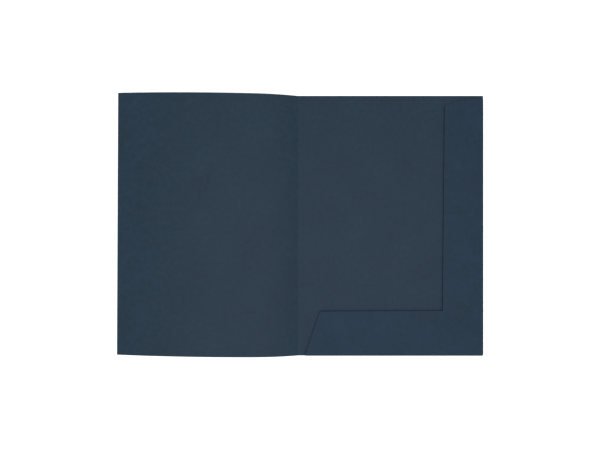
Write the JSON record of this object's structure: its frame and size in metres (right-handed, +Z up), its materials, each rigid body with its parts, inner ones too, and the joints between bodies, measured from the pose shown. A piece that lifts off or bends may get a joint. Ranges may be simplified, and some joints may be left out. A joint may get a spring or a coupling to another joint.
{
  "type": "card folder",
  "caption": "Open card folder: bowed front cover and flat back cover on a double-scored spine, with an L-shaped corner pocket inside the back cover for loose A4 sheets.",
  "frame": {"origin": "the middle of the spine panel, halfway up it, on the table that the open folder lies on", "axes": "+X across the spine towards the back cover and its pocket, +Y up the spine towards the head, +Z up out of the folder's inside"},
  "size_m": [0.4344, 0.31, 0.0126],
  "materials": {
    "card": "matte",
    "scored_card": "matte",
    "folded_card": "matte",
    "glue": "satin"
  },
  "bodies": {
    "back": {"back_cover": "card", "back_score": "scored_card", "foot_fold": "folded_card", "side_fold": "folded_card", "glue_flap": "card", "glue_strip": "glue"},
    "spine": {"spine_panel": "card", "front_score": "scored_card"},
    "front": {"front_cover": "card"},
    "pocket": {"pocket_panel": "card"}
  },
  "joints": [
    {"name": "back_score_fold", "type": "hinge", "parent": "back", "child": "spine", "pos_m": [0.003, 0, 0.00035], "axis": [0, 1, 0], "range_deg": [0, 90]},
    {"name": "front_score_fold", "type": "hinge", "parent": "spine", "child": "front", "pos_m": [-0.003, 0, 0.00035], "axis": [0, 1, 0], "range_deg": [-1.4, 74]},
    {"name": "pocket_swell", "type": "slide", "parent": "back", "child": "pocket", "axis": [0, 0, 1], "range_m": [0, 0.002], "deforming": ["foot_fold", "side_fold"]}
  ]
}
